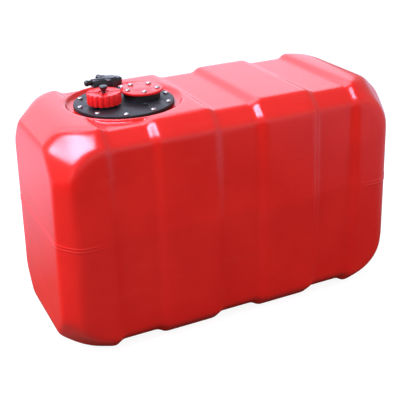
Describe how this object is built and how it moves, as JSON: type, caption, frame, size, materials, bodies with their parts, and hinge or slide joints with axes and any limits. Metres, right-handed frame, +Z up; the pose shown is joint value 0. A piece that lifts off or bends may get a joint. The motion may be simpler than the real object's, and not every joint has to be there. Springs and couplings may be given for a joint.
{
  "type": "fuel tank",
  "caption": "Box-shaped red plastic boat fuel tank with strap bands, a round bolted flange plate, screw filler cap with vent screw, gauge cover and hose outlet head.",
  "frame": {"origin": "middle of the tank's footprint, on the surface that it stands on", "axes": "+X along the tank, away from the filler end; +Y to the back; +Z up"},
  "size_m": [0.6544, 0.303, 0.435],
  "materials": {
    "tank_red": "satin moulded",
    "moulded_red": "semi-gloss",
    "black_plastic": "satin",
    "black_rubber": "matt",
    "screw_steel": "bright",
    "insert_brass": "machined",
    "tube_metal": "drawn",
    "strainer_plastic": "natural"
  },
  "bodies": {
    "tank": {"tank_shell": "tank_red", "sender_cover": "moulded_red", "flange_plate": "black_plastic", "outlet_head": "black_plastic", "outlet_barb": "black_plastic", "return_barb": "black_plastic", "outlet_nut": "black_plastic", "vent_plug": "black_plastic", "flange_gasket": "black_rubber", "sender_gasket": "black_rubber", "outlet_seal": "black_rubber", "flange_screws": "screw_steel", "cover_screws": "screw_steel", "flange_inserts": "insert_brass", "cover_inserts": "insert_brass", "pickup_tube": "tube_metal", "pickup_strainer": "strainer_plastic"},
    "cap_seal": {"cap_seal": "black_rubber"},
    "filler_cap": {"filler_cap": "moulded_red", "vent_seal": "black_rubber"},
    "vent_screw": {"vent_screw": "black_plastic"}
  },
  "joints": [
    {"name": "cap_lift", "type": "slide", "parent": "tank", "child": "cap_seal", "axis": [0, 0, 1], "range_m": [0, 0.22]},
    {"name": "cap_turn", "type": "hinge", "parent": "cap_seal", "child": "filler_cap", "pos_m": [-0.186, -0.007, 0.425], "axis": [0, 0, 1], "range_deg": [0, 540]},
    {"name": "vent_turn", "type": "hinge", "parent": "filler_cap", "child": "vent_screw", "pos_m": [-0.186, -0.007, 0.425], "axis": [0, 0, 1], "range_deg": [0, 720]}
  ]
}
